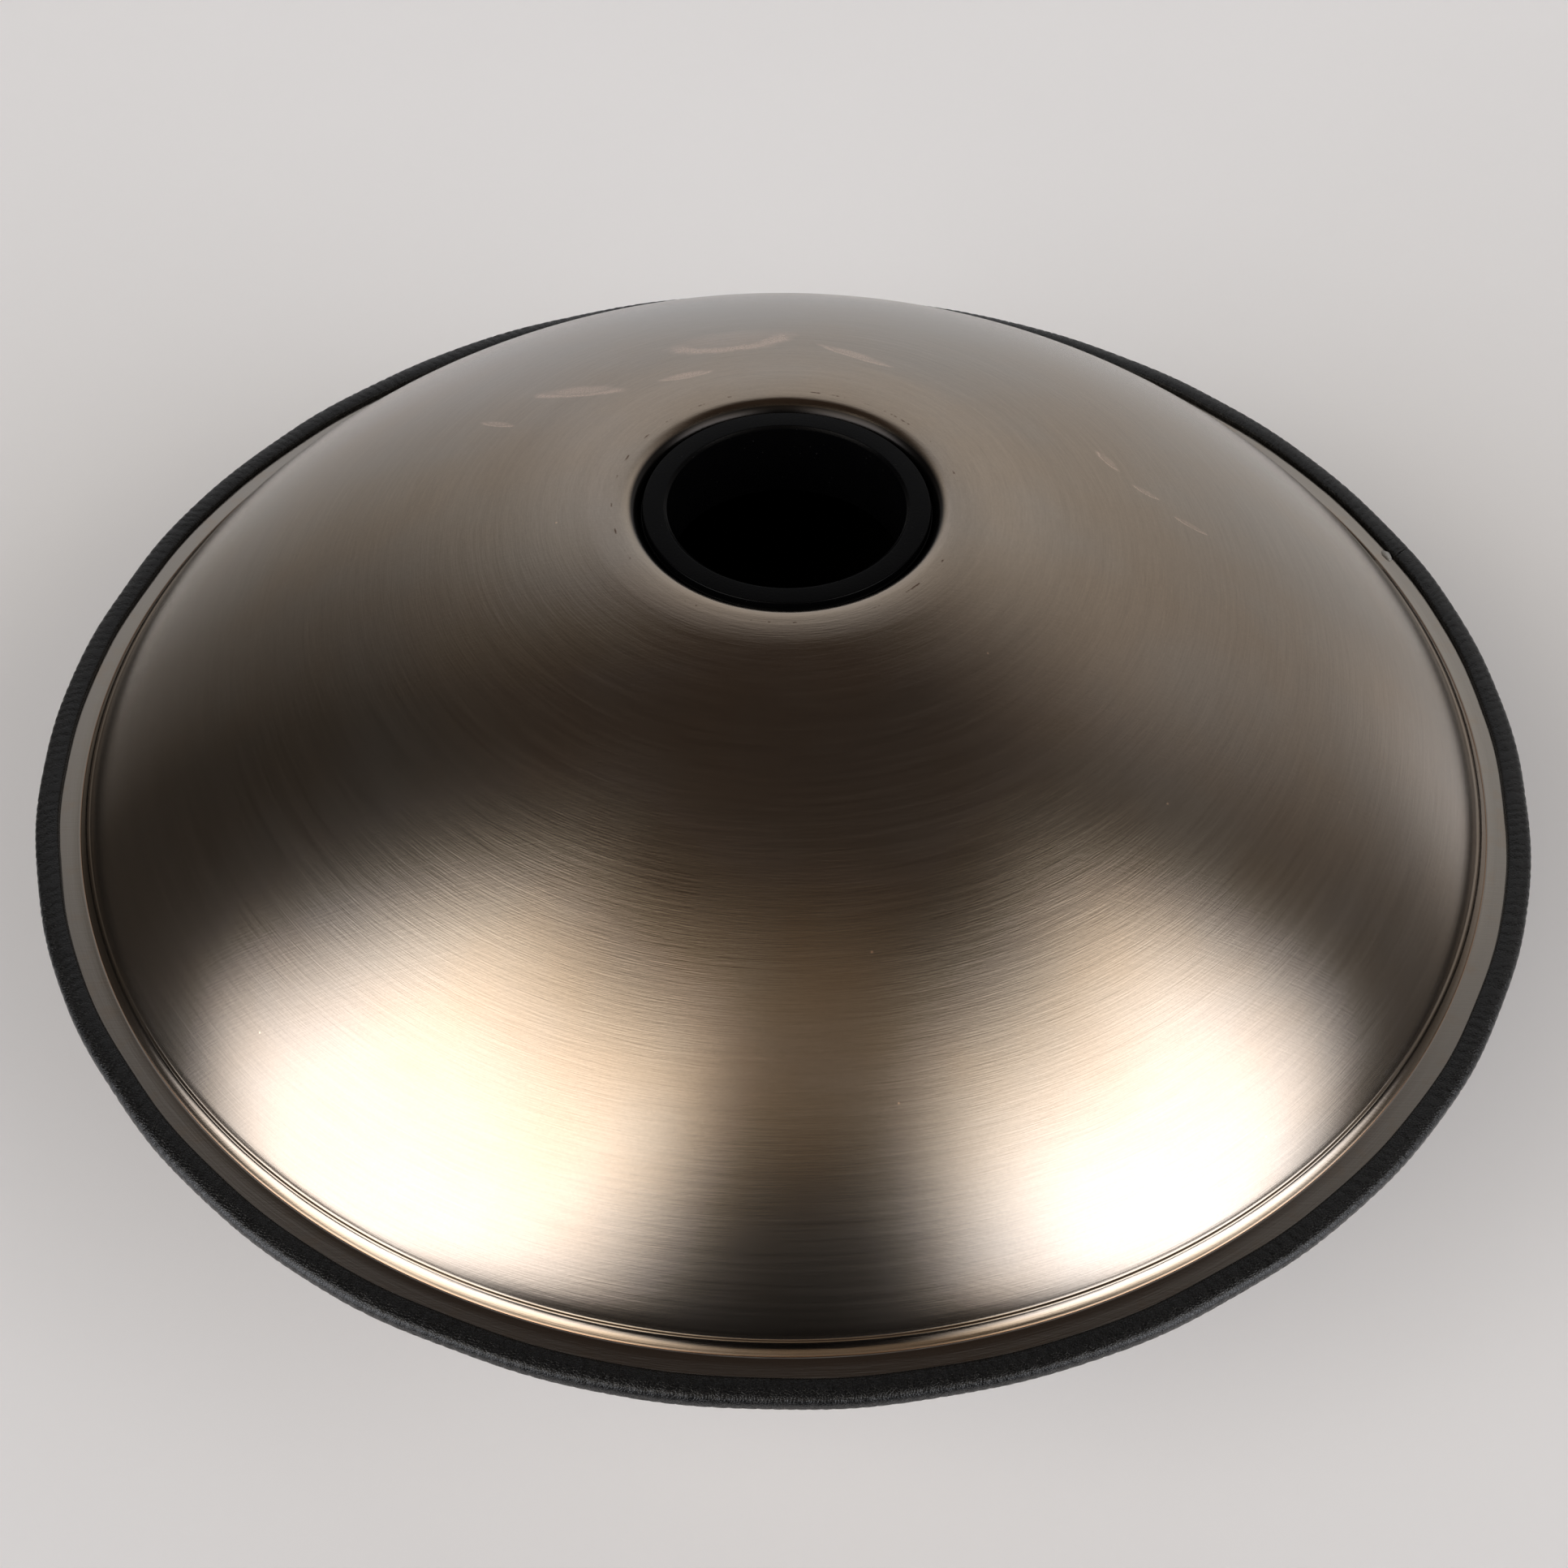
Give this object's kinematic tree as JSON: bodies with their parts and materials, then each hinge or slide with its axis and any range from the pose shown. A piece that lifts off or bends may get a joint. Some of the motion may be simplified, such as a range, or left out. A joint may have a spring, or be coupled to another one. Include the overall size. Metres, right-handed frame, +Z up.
{
  "type": "handpan",
  "caption": "Lens-shaped handpan of two glued steel shells with an edge trim round the rim, a ringed port on top and tone fields on the underside.",
  "frame": {"origin": "on the ground plane, straight under the centre of the port, with the instrument lying on its ding side", "axes": "+Z up out of the port; -Y is the side towards the camera and the player, with the lowest tone field under it; +X to the right seen from there"},
  "size_m": [0.56, 0.56, 0.2312],
  "materials": {
    "gu_steel": "nitrided, brushed round the axis, satin, warm bronze tint",
    "ding_steel": "nitrided, brushed round the axis, satin, warm bronze tint",
    "adhesive": "cured structural adhesive, matt grey",
    "grained_rubber": "soft black profile with a leather grain and cross ribs, matt",
    "strip_steel": "plain spring steel strip",
    "clear_glue": "hardened instant glue, cloudy",
    "smooth_rubber": "smooth black rubber, matt"
  },
  "bodies": {
    "handpan": {"gu_shell": "gu_steel", "ding_shell": "ding_steel", "rim_adhesive": "adhesive", "edge_trim": "grained_rubber", "trim_core": "strip_steel", "joint_glue": "clear_glue"},
    "port_ring": {"port_ring": "smooth_rubber"}
  },
  "joints": [
    {"name": "port_ring_pull", "type": "slide", "parent": "handpan", "child": "port_ring", "axis": [0, 0, 1], "range_m": [0, 0.05]}
  ]
}
